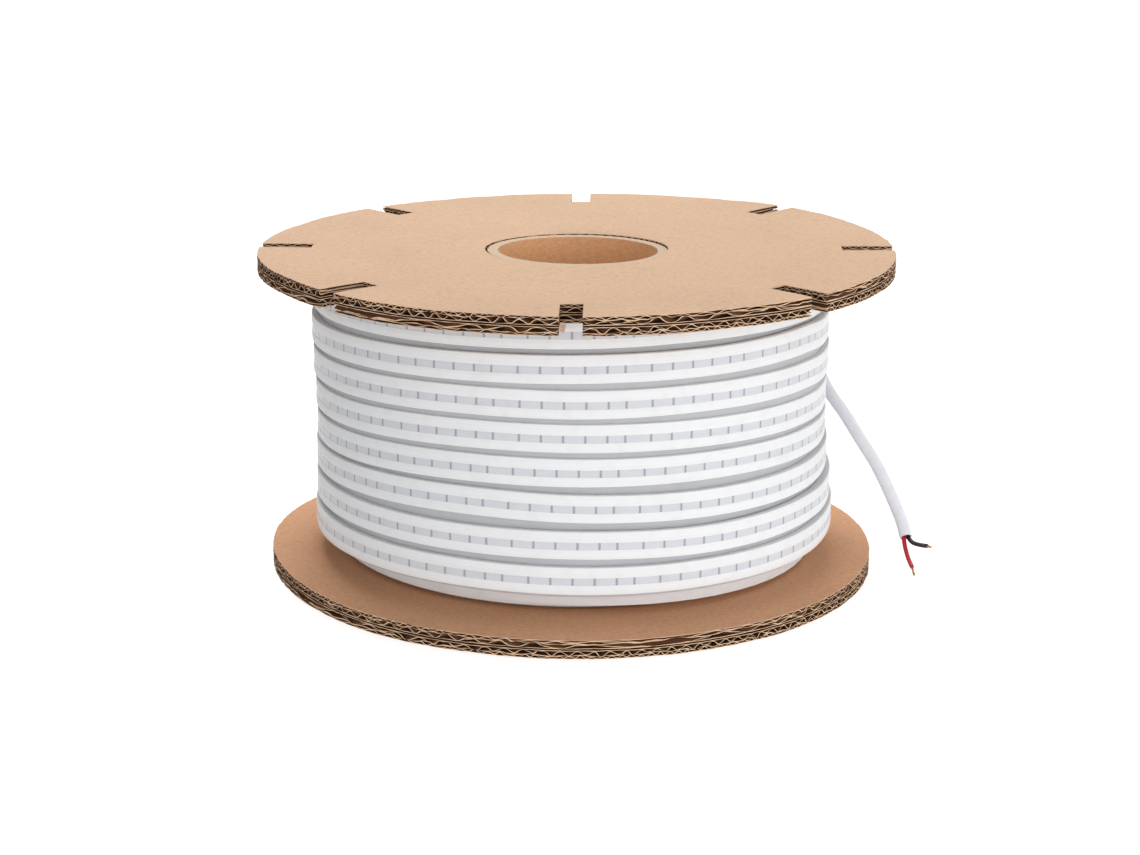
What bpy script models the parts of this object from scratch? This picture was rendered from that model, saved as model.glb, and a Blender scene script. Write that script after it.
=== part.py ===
"""A coil of white LED neon flex, wound on a corrugated cardboard reel that stands on one flange.

The origin is the centre of the bottom flange's underside, with the reel's axis up along +Z.
Sizes are written in millimetres and turned into metres where a mesh is made.
"""
import math

import bmesh
import bpy
from mathutils import Matrix, Vector

MM = 0.001
TOUCH_GAP = 0.3

# Cardboard reel
TOP_FLANGE_DIAMETER = 303.0
BOTTOM_FLANGE_DIAMETER = 290.0
REEL_HEIGHT = 153.0
BOARD_THICKNESS = 4.35
FLANGE_SEGMENTS = 96

# The eight notches in the rim of the top flange
SLOT_COUNT = 8
SLOT_WIDTH = 10.0
SLOT_DEPTH = 25.0
SLOT_TURN = math.radians(-0.7)

# Paper core tube, 3 inch bore
TUBE_BORE = 76.0
TUBE_WALL = 5.0
TUBE_RECESS = 2.0
TUBE_SEGMENTS = 48

# The flex: 8 mm thick and 16 mm tall, ten layers of it, with its window strip facing outwards
FLEX_THICKNESS = 8.0
FLEX_LAYERS = 10
FLEX_PITCH = 15.8
FACE_ABOVE_WINDOW = 6.6
FACE_BELOW_WINDOW = 5.8
SHOULDER_DEPTH = 1.2
TURN_EDGE_CROWN = 0.6
COIL_SEGMENTS = 48

# Heights of the window strip in the rows of the outer layer, from the bottom row up
ROW_WINDOW_HEIGHTS = (28.4, 45.0, 61.7, 77.9, 93.2, 108.4, 124.1, 137.8)
TOP_ROW_SETBACK = 3.5
INNER_ROW_RADIUS = 111.0
INNER_ROW_FACE_BOTTOM = 12.9
INNER_ROW_FACE_TOP = 19.2

# The outer end of the flex climbs out of the top row and runs down across the back to its cap
END_RAMP_START = math.radians(152.0)
END_RAMP_STOP = math.radians(134.0)
END_DESCENT_START = math.radians(146.0)
END_DESCENT_STOP = math.radians(70.0)
END_AZIMUTH = math.radians(52.0)
END_HEIGHT = 88.0
END_SEAT_DEPTH = 0.2
CAP_LENGTH = 18.0
CAP_THICKNESS = 10.0
CAP_HEIGHT = 18.0
CAP_ROUNDING = 1.0
NIPPLE_LENGTH = 10.0
NIPPLE_BASE_DIAMETER = 9.0
NIPPLE_TIP_DIAMETER = 7.6

# The lead and its two stripped cores
LEAD_DIAMETER = 6.0
CORE_DIAMETER = 2.1
CONDUCTOR_DIAMETER = 1.1
LEAD_ROUTE = (
    (109.6, 77.4, 87.6),
    (116.2, 69.2, 86.0),
    (121.0, 59.0, 83.0),
    (124.6, 47.6, 78.6),
    (128.2, 36.4, 72.8),
    (134.6, 25.0, 65.2),
    (141.9, 13.0, 54.9),
    (148.4, 3.0, 45.7),
    (154.4, -9.0, 34.3),
    (158.8, -19.0, 24.2),
    (160.4, -25.0, 18.0),
)
RED_CORE_ROUTE = (
    (159.3, -25.5, 17.7),
    (159.6, -30.0, 14.2),
    (160.4, -36.0, 10.9),
    (161.5, -42.0, 8.6),
)
RED_TIP = (162.0, -46.9, 6.2)
BLACK_CORE_ROUTE = (
    (161.6, -25.2, 17.7),
    (163.0, -30.0, 16.9),
    (165.6, -36.0, 17.7),
    (168.1, -42.0, 19.2),
)
BLACK_TIP = (169.2, -46.3, 20.1)

tube_radius = TUBE_BORE / 2 + TUBE_WALL
flange_bore_radius = tube_radius + TOUCH_GAP
coil_inner_radius = tube_radius + TOUCH_GAP
coil_outer_radius = coil_inner_radius + FLEX_LAYERS * FLEX_THICKNESS - TOUCH_GAP
flange_thickness = 2 * BOARD_THICKNESS + TOUCH_GAP
coil_bottom = flange_thickness + TOUCH_GAP
coil_top = REEL_HEIGHT - flange_thickness - TOUCH_GAP


def clear_scene():
    for item in list(bpy.data.objects):
        bpy.data.objects.remove(item)


def make_material(name, colour, roughness, metallic=0.0):
    material = bpy.data.materials.new(name)
    material.use_nodes = True
    shader = material.node_tree.nodes["Principled BSDF"]
    shader.inputs["Base Color"].default_value = (*colour, 1.0)
    shader.inputs["Roughness"].default_value = roughness
    shader.inputs["Metallic"].default_value = metallic
    return material


def mesh_object(name, mesh_builder, material):
    """Turn a bmesh, built in millimetres, into a named object in metres."""
    bmesh.ops.scale(mesh_builder, vec=(MM, MM, MM), verts=mesh_builder.verts)
    bmesh.ops.recalc_face_normals(mesh_builder, faces=mesh_builder.faces)
    mesh = bpy.data.meshes.new(name)
    mesh_builder.to_mesh(mesh)
    mesh_builder.free()
    mesh.materials.append(material)
    result = bpy.data.objects.new(name, mesh)
    bpy.context.scene.collection.objects.link(result)
    return result


def shade_round(target, angle=math.radians(30.0)):
    target.data.shade_smooth()
    target.data.set_sharp_from_angle(angle=angle)


def turned_solid(name, profile, segments, material):
    """Spin a closed outline of (radius, height) points round the reel's axis."""
    builder = bmesh.new()
    corners = [builder.verts.new((radius, 0.0, height)) for radius, height in profile]
    outline = [
        builder.edges.new((corner, corners[(index + 1) % len(corners)]))
        for index, corner in enumerate(corners)
    ]
    bmesh.ops.spin(
        builder,
        geom=corners + outline,
        cent=(0.0, 0.0, 0.0),
        axis=(0.0, 0.0, 1.0),
        angle=2.0 * math.pi,
        steps=segments,
        use_merge=True,
    )
    bmesh.ops.remove_doubles(builder, verts=builder.verts, dist=0.001)
    result = mesh_object(name, builder, material)
    shade_round(result)
    return result


def ring_profile(inner_radius, outer_radius, bottom, top):
    return [
        (inner_radius, bottom),
        (outer_radius, bottom),
        (outer_radius, top),
        (inner_radius, top),
    ]


def hide_cutter(cutter):
    cutter.hide_render = True
    cutter.display_type = "WIRE"


def add_boolean(target, tool, operation):
    modifier = target.modifiers.new(operation.lower(), "BOOLEAN")
    modifier.operation = operation
    modifier.solver = "EXACT"
    modifier.object = tool
    hide_cutter(tool)


def slot_cutter(name, bottom, top, material):
    """Eight boxes standing across the rim, one for each notch."""
    margin = 5.0
    outer_radius = TOP_FLANGE_DIAMETER / 2
    inner_end = outer_radius - SLOT_DEPTH
    length = SLOT_DEPTH + margin
    height = top - bottom + 2 * margin
    builder = bmesh.new()
    for index in range(SLOT_COUNT):
        placing = (
            Matrix.Rotation(SLOT_TURN + index * 2.0 * math.pi / SLOT_COUNT, 4, "Z")
            @ Matrix.Translation((inner_end + length / 2, 0.0, (bottom + top) / 2))
            @ Matrix.Diagonal((length, SLOT_WIDTH, height, 1.0))
        )
        bmesh.ops.create_cube(builder, size=1.0, matrix=placing)
    return mesh_object(name, builder, material)


def make_board(name, outer_radius, bottom, material):
    profile = ring_profile(flange_bore_radius, outer_radius, bottom, bottom + BOARD_THICKNESS)
    return turned_solid(name, profile, FLANGE_SEGMENTS, material)


def make_slotted_board(name, bottom, material):
    board = make_board(name, TOP_FLANGE_DIAMETER / 2, bottom, material)
    cutter = slot_cutter(name + "_slots", bottom, bottom + BOARD_THICKNESS, material)
    add_boolean(board, cutter, "DIFFERENCE")


def make_reel(board_material, tube_material):
    second_board = BOARD_THICKNESS + TOUCH_GAP
    top_flange_bottom = REEL_HEIGHT - flange_thickness
    bottom_radius = BOTTOM_FLANGE_DIAMETER / 2
    make_board("bottom_flange_lower_board", bottom_radius, 0.0, board_material)
    make_board("bottom_flange_upper_board", bottom_radius, second_board, board_material)
    make_slotted_board("top_flange_lower_board", top_flange_bottom, board_material)
    make_slotted_board("top_flange_upper_board", top_flange_bottom + second_board, board_material)
    profile = ring_profile(TUBE_BORE / 2, tube_radius, TUBE_RECESS, REEL_HEIGHT - TUBE_RECESS)
    turned_solid("core_tube", profile, TUBE_SEGMENTS, tube_material)


def coil_profile():
    """Outline of the coil: crowned turn edges on both ends, and rows with a shoulder outside."""
    profile = [(coil_inner_radius, coil_bottom + TURN_EDGE_CROWN)]
    inner_layers = int((INNER_ROW_RADIUS - coil_inner_radius) / FLEX_THICKNESS)
    for layer in range(inner_layers):
        layer_radius = coil_inner_radius + layer * FLEX_THICKNESS
        profile.append((layer_radius + FLEX_THICKNESS / 2, coil_bottom))
        profile.append((layer_radius + FLEX_THICKNESS, coil_bottom + TURN_EDGE_CROWN))
    profile += [
        (INNER_ROW_RADIUS - SHOULDER_DEPTH, coil_bottom + TURN_EDGE_CROWN),
        (INNER_ROW_RADIUS - SHOULDER_DEPTH, INNER_ROW_FACE_BOTTOM),
        (INNER_ROW_RADIUS, INNER_ROW_FACE_BOTTOM),
        (INNER_ROW_RADIUS, INNER_ROW_FACE_TOP),
        (coil_outer_radius - SHOULDER_DEPTH, INNER_ROW_FACE_TOP),
    ]
    last_row = len(ROW_WINDOW_HEIGHTS) - 1
    for row, window_height in enumerate(ROW_WINDOW_HEIGHTS):
        face_radius = coil_outer_radius
        face_top = window_height + FACE_ABOVE_WINDOW
        if row == last_row:
            face_radius -= TOP_ROW_SETBACK
            face_top = coil_top - TURN_EDGE_CROWN
            profile.append((face_radius - SHOULDER_DEPTH, profile[-1][1]))
        face_bottom = window_height - FACE_BELOW_WINDOW
        profile += [
            (face_radius - SHOULDER_DEPTH, face_bottom),
            (face_radius, face_bottom),
            (face_radius, face_top),
        ]
        if row != last_row:
            profile.append((face_radius - SHOULDER_DEPTH, face_top))
    profile.append((coil_outer_radius - TOP_ROW_SETBACK - FLEX_THICKNESS / 2, coil_top))
    for layer in reversed(range(FLEX_LAYERS - 1)):
        layer_radius = coil_inner_radius + layer * FLEX_THICKNESS
        profile.append((layer_radius + FLEX_THICKNESS, coil_top - TURN_EDGE_CROWN))
        profile.append((layer_radius + FLEX_THICKNESS / 2, coil_top))
    profile.append((coil_inner_radius, coil_top - TURN_EDGE_CROWN))
    return profile


def smooth_step(fraction):
    fraction = min(1.0, max(0.0, fraction))
    return fraction * fraction * (3.0 - 2.0 * fraction)


def end_stretch_point(azimuth):
    """A point on the centre line of the flex's outer end, out of the top row and down to the cap."""
    resting_radius = coil_outer_radius + FLEX_THICKNESS / 2 - END_SEAT_DEPTH
    buried_radius = resting_radius - FLEX_THICKNESS - 1.0
    start_height = coil_top - FLEX_PITCH / 2 - TURN_EDGE_CROWN
    rise = smooth_step((END_RAMP_START - azimuth) / (END_RAMP_START - END_RAMP_STOP))
    fall = smooth_step((END_DESCENT_START - azimuth) / (END_DESCENT_START - END_DESCENT_STOP))
    radius = buried_radius + (resting_radius - buried_radius) * rise
    height = start_height + (END_HEIGHT - start_height) * fall
    return Vector((radius * math.cos(azimuth), radius * math.sin(azimuth), height))


def end_stretch_sections():
    """Cross-sections of the flex's outer end, standing square to its centre line."""
    steps = 30
    nudge = math.radians(0.5)
    half_height = FLEX_PITCH / 2
    half_thickness = FLEX_THICKNESS / 2
    sections = []
    for step in range(steps + 1):
        azimuth = END_RAMP_START + (END_AZIMUTH - END_RAMP_START) * step / steps
        centre = end_stretch_point(azimuth)
        outward = Vector((math.cos(azimuth), math.sin(azimuth), 0.0))
        along = end_stretch_point(azimuth - nudge) - end_stretch_point(azimuth + nudge)
        upward = along.cross(outward).normalized()
        sections.append([
            centre - outward * half_thickness - upward * half_height,
            centre + outward * half_thickness - upward * half_height,
            centre + outward * half_thickness + upward * half_height,
            centre - outward * half_thickness + upward * half_height,
        ])
    return sections


def swept_solid(name, sections, material):
    builder = bmesh.new()
    rings = [[builder.verts.new(point) for point in section] for section in sections]
    corner_count = len(rings[0])
    for first, second in zip(rings, rings[1:]):
        for corner in range(corner_count):
            following = (corner + 1) % corner_count
            builder.faces.new((first[corner], first[following], second[following], second[corner]))
    builder.faces.new(list(reversed(rings[0])))
    builder.faces.new(rings[-1])
    return mesh_object(name, builder, material)


def make_flex(material):
    coil = turned_solid("neon_flex", coil_profile(), COIL_SEGMENTS, material)
    end_stretch = swept_solid("neon_flex_end_stretch", end_stretch_sections(), material)
    add_boolean(coil, end_stretch, "UNION")


def cap_frame():
    """Where the flex ends on the back, and the level direction that it points in there."""
    forward = Vector((math.sin(END_AZIMUTH), -math.cos(END_AZIMUTH), 0.0))
    outward = Vector((math.cos(END_AZIMUTH), math.sin(END_AZIMUTH), 0.0))
    centre_radius = coil_outer_radius + TOUCH_GAP + CAP_THICKNESS / 2 + 0.2
    start = outward * centre_radius + Vector((0.0, 0.0, END_HEIGHT)) + forward * TOUCH_GAP
    return start, forward, outward


def make_cap(material):
    start, forward, outward = cap_frame()
    upward = Vector((0.0, 0.0, 1.0))
    axes = Matrix((forward, outward, upward)).transposed().to_4x4()
    builder = bmesh.new()
    placing = (
        Matrix.Translation(start + forward * CAP_LENGTH / 2)
        @ axes
        @ Matrix.Diagonal((CAP_LENGTH, CAP_THICKNESS, CAP_HEIGHT, 1.0))
    )
    bmesh.ops.create_cube(builder, size=1.0, matrix=placing)
    bmesh.ops.bevel(
        builder,
        geom=list(builder.edges),
        offset=CAP_ROUNDING,
        segments=2,
        profile=0.5,
        affect="EDGES",
    )
    cap = mesh_object("flex_end_cap", builder, material)
    shade_round(cap)
    nipple_overlap = 2.0
    builder = bmesh.new()
    along_forward = forward.to_track_quat("Z", "Y").to_matrix().to_4x4()
    nipple_centre = start + forward * (CAP_LENGTH + (NIPPLE_LENGTH - nipple_overlap) / 2)
    bmesh.ops.create_cone(
        builder,
        cap_ends=True,
        segments=20,
        radius1=NIPPLE_BASE_DIAMETER / 2,
        radius2=NIPPLE_TIP_DIAMETER / 2,
        depth=NIPPLE_LENGTH + nipple_overlap,
        matrix=Matrix.Translation(nipple_centre) @ along_forward,
    )
    nipple = mesh_object("flex_end_cap_nipple", builder, material)
    add_boolean(cap, nipple, "UNION")


def lead_route():
    """The lead leaves the cap's nipple straight, then droops past the side of the coil."""
    start, forward, _ = cap_frame()
    exit_point = start + forward * (CAP_LENGTH + NIPPLE_LENGTH + TOUCH_GAP)
    return [exit_point] + [Vector(point) for point in LEAD_ROUTE]


def smooth_points(route, spacing):
    """Read points from a Catmull-Rom curve through the route's own points."""
    samples = 12
    padded = [route[0] * 2 - route[1]] + list(route) + [route[-1] * 2 - route[-2]]
    fine = []
    for index in range(1, len(padded) - 2):
        before, start, end, after = padded[index - 1:index + 3]
        for sample in range(samples):
            t = sample / samples
            fine.append(0.5 * (
                2 * start
                + (end - before) * t
                + (2 * before - 5 * start + 4 * end - after) * t ** 2
                + (3 * start - before - 3 * end + after) * t ** 3
            ))
    fine.append(route[-1])
    lengths = [(second - first).length for first, second in zip(fine, fine[1:])]
    total = sum(lengths)
    count = max(3, round(total / spacing))
    points = [fine[0]]
    travelled = 0.0
    for point, length in zip(fine[1:], lengths):
        travelled += length
        if travelled >= total * len(points) / count - 1e-6:
            points.append(point)
    return points


def make_tube(name, points, diameter, resolution, material):
    curve = bpy.data.curves.new(name, "CURVE")
    curve.dimensions = "3D"
    curve.bevel_depth = diameter / 2 * MM
    curve.bevel_resolution = resolution
    curve.use_fill_caps = True
    spline = curve.splines.new("POLY")
    spline.points.add(len(points) - 1)
    for target, point in zip(spline.points, points):
        target.co = (*(point * MM), 1.0)
    curve.materials.append(material)
    result = bpy.data.objects.new(name, curve)
    bpy.context.scene.collection.objects.link(result)


def make_core(colour_name, route, tip, insulation, copper):
    core_points = [Vector(point) for point in route]
    make_tube(colour_name + "_core", smooth_points(core_points, 4.0), CORE_DIAMETER, 2, insulation)
    heading = (Vector(tip) - core_points[-1]).normalized()
    start = core_points[-1] + heading * TOUCH_GAP
    middle = (start + Vector(tip)) / 2
    conductor_points = [start, middle, Vector(tip)]
    make_tube(colour_name + "_conductor", conductor_points, CONDUCTOR_DIAMETER, 2, copper)


clear_scene()
kraft_board = make_material("kraft_board", (0.52, 0.34, 0.21), 0.85)
kraft_tube = make_material("kraft_tube", (0.42, 0.30, 0.21), 0.80)
white_flex = make_material("white_flex", (0.86, 0.87, 0.88), 0.40)
white_cap = make_material("white_cap", (0.85, 0.85, 0.86), 0.35)
white_jacket = make_material("white_jacket", (0.80, 0.80, 0.85), 0.40)
red_insulation = make_material("red_insulation", (0.60, 0.02, 0.03), 0.40)
black_insulation = make_material("black_insulation", (0.02, 0.02, 0.02), 0.40)
copper = make_material("bare_copper", (0.75, 0.38, 0.20), 0.30, 1.0)

make_reel(kraft_board, kraft_tube)
make_flex(white_flex)
make_cap(white_cap)
make_tube("power_lead", smooth_points(lead_route(), 12.0), LEAD_DIAMETER, 4, white_jacket)
make_core("red", RED_CORE_ROUTE, RED_TIP, red_insulation, copper)
make_core("black", BLACK_CORE_ROUTE, BLACK_TIP, black_insulation, copper)
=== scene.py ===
import math
from collections import namedtuple

import bmesh
import bpy
from mathutils import Matrix, Vector, noise


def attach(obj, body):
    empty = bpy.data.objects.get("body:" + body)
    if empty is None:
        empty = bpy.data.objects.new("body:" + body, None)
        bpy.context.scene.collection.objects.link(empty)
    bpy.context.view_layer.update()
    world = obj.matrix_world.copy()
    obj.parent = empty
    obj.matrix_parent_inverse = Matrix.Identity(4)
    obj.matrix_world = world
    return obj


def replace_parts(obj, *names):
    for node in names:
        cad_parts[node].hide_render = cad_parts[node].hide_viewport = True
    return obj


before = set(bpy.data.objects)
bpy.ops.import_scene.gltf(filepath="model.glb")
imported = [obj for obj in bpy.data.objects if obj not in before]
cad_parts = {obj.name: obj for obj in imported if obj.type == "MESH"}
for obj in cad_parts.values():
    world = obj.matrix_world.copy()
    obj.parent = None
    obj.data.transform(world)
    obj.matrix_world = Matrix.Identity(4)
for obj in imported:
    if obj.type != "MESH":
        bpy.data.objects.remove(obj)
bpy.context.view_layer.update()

# The core tube is wound from strips of brown kraft paper on a mandrel and glued.
# Its inner strip leaves a spiral seam in the bore, and its plies show as rings on
# the cut ends. It leans a little, and its upper end was sawn slightly out of square.
MM = 0.001
TUBE_KRAFT = (0.82, 0.495, 0.265)
TUBE_CUT_KRAFT = (0.68, 0.52, 0.385)
TUBE_LEAN = 1.4 * MM
TUBE_END_SLOPE = 1.0 * MM
TUBE_END_RISE = 0.9 * MM
TUBE_BORE_RADIUS = 38.0 * MM
TUBE_OUTER_RADIUS = 43.0 * MM
TUBE_LOW = 2.0 * MM
TUBE_HIGH = 151.0 * MM
STRIP_WIDTH_ALONG_TUBE = 78.0 * MM
STRIP_LAP = 0.12 * MM
SEAM_WIDTH = 0.9 * MM
SEAM_DEPTH = 0.35 * MM
PLY_COUNT = 8
PLY_RIDGE = 0.22 * MM
PLY_SUNK = 0.05 * MM
PLY_FUZZ = 0.12 * MM
FIBRE_SHADE = (0.80, 0.78, 0.755)
FLECK_SHADE = (0.80, 0.76, 0.72)
UNSHADED = (1.0, 1.0, 1.0)


def smooth_step(fraction):
    fraction = min(1.0, max(0.0, fraction))
    return fraction * fraction * (3.0 - 2.0 * fraction)


def around(radius, degrees, height):
    """A point at this radius and azimuth about the reel's axis."""
    turn = math.radians(degrees)
    return Vector((radius * math.cos(turn), radius * math.sin(turn), height))


def new_object(name, builder, materials=()):
    mesh = bpy.data.meshes.new(name)
    builder.to_mesh(mesh)
    builder.free()
    for material in materials:
        mesh.materials.append(material)
    made = bpy.data.objects.new(name, mesh)
    bpy.context.scene.collection.objects.link(made)
    return made


def new_piece(name, builder, materials, smooth_angle):
    """A visible piece of the reel, smooth-shaded up to an angle between its faces."""
    piece = new_object(name, builder, materials)
    piece.data.shade_smooth()
    piece.data.set_sharp_from_angle(angle=math.radians(smooth_angle))
    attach(piece, "root")
    return piece


def new_material(name, roughness):
    """A material, its node tree and its main shader."""
    material = bpy.data.materials.new(name)
    material.use_nodes = True
    tree = material.node_tree
    shader = tree.nodes["Principled BSDF"]
    shader.inputs["Roughness"].default_value = roughness
    return material, tree, shader


def place_coordinates(tree, stretch=(1.0, 1.0, 1.0)):
    """Positions on the object, in metres, stretched along its axes."""
    coordinates = tree.nodes.new("ShaderNodeTexCoord")
    mapping = tree.nodes.new("ShaderNodeMapping")
    mapping.inputs["Scale"].default_value = stretch
    tree.links.new(coordinates.outputs["Object"], mapping.inputs["Vector"])
    return mapping.outputs["Vector"]


def noise_texture(tree, vector, scale, detail=2.0, roughness=0.5):
    texture = tree.nodes.new("ShaderNodeTexNoise")
    texture.inputs["Scale"].default_value = scale
    texture.inputs["Detail"].default_value = detail
    texture.inputs["Roughness"].default_value = roughness
    tree.links.new(vector, texture.inputs["Vector"])
    return texture.outputs["Fac"]


def colour_ramp(tree, factor, stops):
    """Colours at places from 0 to 1."""
    ramp = tree.nodes.new("ShaderNodeValToRGB")
    elements = ramp.color_ramp.elements
    while len(elements) > 1:
        elements.remove(elements[-1])
    elements[0].position = stops[0][0]
    elements[0].color = (*stops[0][1], 1.0)
    for place, colour in stops[1:]:
        elements.new(place).color = (*colour, 1.0)
    tree.links.new(factor, ramp.inputs["Fac"])
    return ramp.outputs["Color"]


def stained(tree, shader, factor, stops):
    """Colours the surface between the stops of a ramp."""
    tree.links.new(colour_ramp(tree, factor, stops), shader.inputs["Base Color"])


def multiplied(tree, amount, first, second):
    """The first colour, darkened by the second as far as the amount says."""
    mix = tree.nodes.new("ShaderNodeMixRGB")
    mix.blend_type = "MULTIPLY"
    mix.inputs["Fac"].default_value = amount
    tree.links.new(first, mix.inputs["Color1"])
    tree.links.new(second, mix.inputs["Color2"])
    return mix.outputs["Color"]


def add_bump(tree, shader, height, strength, distance, before=None):
    bump = tree.nodes.new("ShaderNodeBump")
    bump.inputs["Strength"].default_value = strength
    bump.inputs["Distance"].default_value = distance
    tree.links.new(height, bump.inputs["Height"])
    if before is not None:
        tree.links.new(before, bump.inputs["Normal"])
    tree.links.new(bump.outputs["Normal"], shader.inputs["Normal"])
    return bump.outputs["Normal"]


def shaded(colour, amount):
    return tuple(channel * amount for channel in colour)


def kraft_paper(name, colour, roughness):
    """Kraft paper: soft blotches, short fibres that lie one way, flecks, and a dry face."""
    material, tree, shader = new_material(name, roughness)
    shader.inputs["Specular IOR Level"].default_value = 0.25
    place = place_coordinates(tree)
    blotches = noise_texture(tree, place, 14.0, detail=5.0, roughness=0.55)
    blotch_colour = colour_ramp(tree, blotches, [
        (0.30, shaded(colour, 0.955)), (0.52, colour), (0.75, shaded(colour, 1.03)),
    ])
    along = place_coordinates(tree, stretch=(0.35, 1.0, 1.0))
    fibres = noise_texture(tree, along, 1100.0, detail=3.0, roughness=0.65)
    fibre_shade = colour_ramp(tree, fibres, [(0.30, FIBRE_SHADE), (0.66, UNSHADED)])
    flecks = noise_texture(tree, place, 520.0, detail=4.0, roughness=0.75)
    fleck_shade = colour_ramp(tree, flecks, [(0.33, FLECK_SHADE), (0.47, UNSHADED)])
    fibred = multiplied(tree, 0.9, blotch_colour, fibre_shade)
    flecked = multiplied(tree, 0.75, fibred, fleck_shade)
    tree.links.new(flecked, shader.inputs["Base Color"])
    first = add_bump(tree, shader, fibres, 0.25, 0.0001)
    add_bump(tree, shader, blotches, 0.15, 0.0006, before=first)
    return material


tube_paper = kraft_paper("kraft_tube_paper", TUBE_KRAFT, 0.80)
tube_cut = kraft_paper("kraft_tube_cut_end", TUBE_CUT_KRAFT, 0.92)


def tube_surface_radius(radius, degrees, height):
    """The bore's skin, sunk along the spiral seam where two strip edges meet."""
    strip = (height / STRIP_WIDTH_ALONG_TUBE + degrees / 360.0) % 1.0
    from_seam = min(strip, 1.0 - strip) * STRIP_WIDTH_ALONG_TUBE
    sunk = SEAM_DEPTH * (1.0 - smooth_step(from_seam / SEAM_WIDTH))
    return radius + sunk + STRIP_LAP * strip


def wound_tube():
    """The tube as rings: up the bore, out over the upper end, down the outside and back in."""
    columns = 240
    bore_rows = 100
    outside_rows = 4
    end_rings = PLY_COUNT * 3
    rings = []
    for row in range(bore_rows + 1):
        height = TUBE_LOW + (TUBE_HIGH - TUBE_LOW) * row / bore_rows
        rings.append(("bore", height, 0.0))
    for step in range(1, end_rings):
        rings.append(("end", TUBE_HIGH, step / end_rings))
    for row in range(outside_rows + 1):
        height = TUBE_HIGH + (TUBE_LOW - TUBE_HIGH) * row / outside_rows
        rings.append(("outside", height, 1.0))
    for step in range(end_rings - 1, 0, -1):
        rings.append(("end", TUBE_LOW, step / end_rings))
    builder = bmesh.new()
    made = []
    for kind, height, across in rings:
        ring = []
        for column in range(columns):
            degrees = 360.0 * column / columns
            radius = TUBE_BORE_RADIUS + (TUBE_OUTER_RADIUS - TUBE_BORE_RADIUS) * across
            lift = 0.0
            if kind == "bore":
                radius = tube_surface_radius(radius, degrees, height)
            if kind == "end":
                ply = (across * PLY_COUNT + degrees / 360.0) % 1.0
                lift = PLY_RIDGE * (0.5 - abs(ply - 0.5)) - PLY_SUNK
                lift += PLY_FUZZ * noise.noise(Vector((radius * 900.0, degrees * 0.9, 3.0)))
                lift = lift if height > 0.5 * TUBE_HIGH else -lift
            point = around(radius, degrees, height + lift)
            up_the_tube = smooth_step((height - 0.5 * TUBE_HIGH) / (0.5 * TUBE_HIGH))
            slope = TUBE_END_SLOPE * math.sin(math.radians(degrees))
            point.z += (TUBE_END_RISE - slope) * up_the_tube
            point.x += TUBE_LEAN * height / TUBE_HIGH
            ring.append(builder.verts.new(point))
        made.append((kind, ring))
    for (kind, ring), (next_kind, next_ring) in zip(made, made[1:] + made[:1]):
        for column in range(columns):
            after = (column + 1) % columns
            face = builder.faces.new((ring[column], ring[after], next_ring[after], next_ring[column]))
            face.material_index = 1 if "end" in (kind, next_kind) else 0
    bmesh.ops.recalc_face_normals(builder, faces=builder.faces)
    return new_piece("core_tube_wound", builder, [tube_paper, tube_cut], 50.0)


core_tube = wound_tube()
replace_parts(core_tube, "core_tube")

# The four flange boards are double-wall corrugated cardboard, cut to discs with a knife.
# A board is three kraft liners with a small and a large fluted sheet glued between them.
# Two boards with their flutes crossed make a flange, and the tube is glued into its hole.
KRAFT_FACE = (0.70, 0.475, 0.32)
# Painted shade: the bottom flange's upper face takes a darker, more orange copy of the board kraft, for
# the shade and the kraft-coloured bounce light it gets under the top flange and the coil.
LOWER_KRAFT_FACE_PAINTED_SHADE = (0.77, 0.425, 0.24)
# Painted shade: the same kraft inside the boards, seen in the hollows between the flutes, is coloured
# near-black brown for the shade in those hollows.
KRAFT_FLUTE_PAINTED_SHADE = (0.15, 0.065, 0.03)
KRAFT_CUT_EDGE = (0.80, 0.545, 0.36)
LINER = 0.28 * MM
FLUTE_PAPER = 0.26 * MM
SMALL_FLUTE_HEIGHT = 1.26 * MM
SMALL_FLUTE_PITCH = 4.1 * MM
LARGE_FLUTE_HEIGHT = 2.25 * MM
LARGE_FLUTE_PITCH = 6.5 * MM
BOARD_THICKNESS = 4.35 * MM
BOARD_HOLE_RADIUS = 43.6 * MM
TOP_FLANGE_RADIUS = 151.5 * MM
BOTTOM_FLANGE_RADIUS = 145.0 * MM
REEL_HEIGHT = 153.0 * MM
BOARD_GAP = 0.3 * MM
SLOT_COUNT = 8
SLOT_WIDTH = 10.0 * MM
SLOT_DEPTH = 25.0 * MM
SLOT_INNER_RADIUS = TOP_FLANGE_RADIUS - SLOT_DEPTH
SLOT_TURN = -0.7
SHEET_REACH = 156.0 * MM
CRUSHED_RIM = 9.0 * MM
CRUSHED_ALL_ROUND = 0.09
CRUSHED_HERE = 0.16
CRUSHED_NOTCH = 0.10
FRAYED_RIM = 1.2 * MM
KNIFE_WOBBLE = 0.40 * MM
KNIFE_WOBBLE_UP = 0.12 * MM
RUMPLED_EDGE = 1.5 * MM
RIM_RIPPLE = 0.25 * MM
TORN_SCRAP = {
    "notch": 270.0, "radius": 127.0 * MM, "side": -1,
    "width": 2.6 * MM, "top": 144.8 * MM, "drop": 3.2 * MM,
}

# The knife's wobble comes from noise with a fixed start, so every run cuts the same edge.
noise.seed_set(5)
kraft_face = kraft_paper("kraft_board_face", KRAFT_FACE, 0.82)
shaded_lower_kraft_face = kraft_paper("kraft_board_lower_face_painted_shade", LOWER_KRAFT_FACE_PAINTED_SHADE, 0.70)
# The flute paper's dark colour is painted shade for the hollows inside the board.
kraft_flute_painted_shade = kraft_paper("kraft_board_flute_painted_shade", KRAFT_FLUTE_PAINTED_SHADE, 0.88)
kraft_edge = kraft_paper("kraft_board_cut_edge", KRAFT_CUT_EDGE, 0.95)


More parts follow.
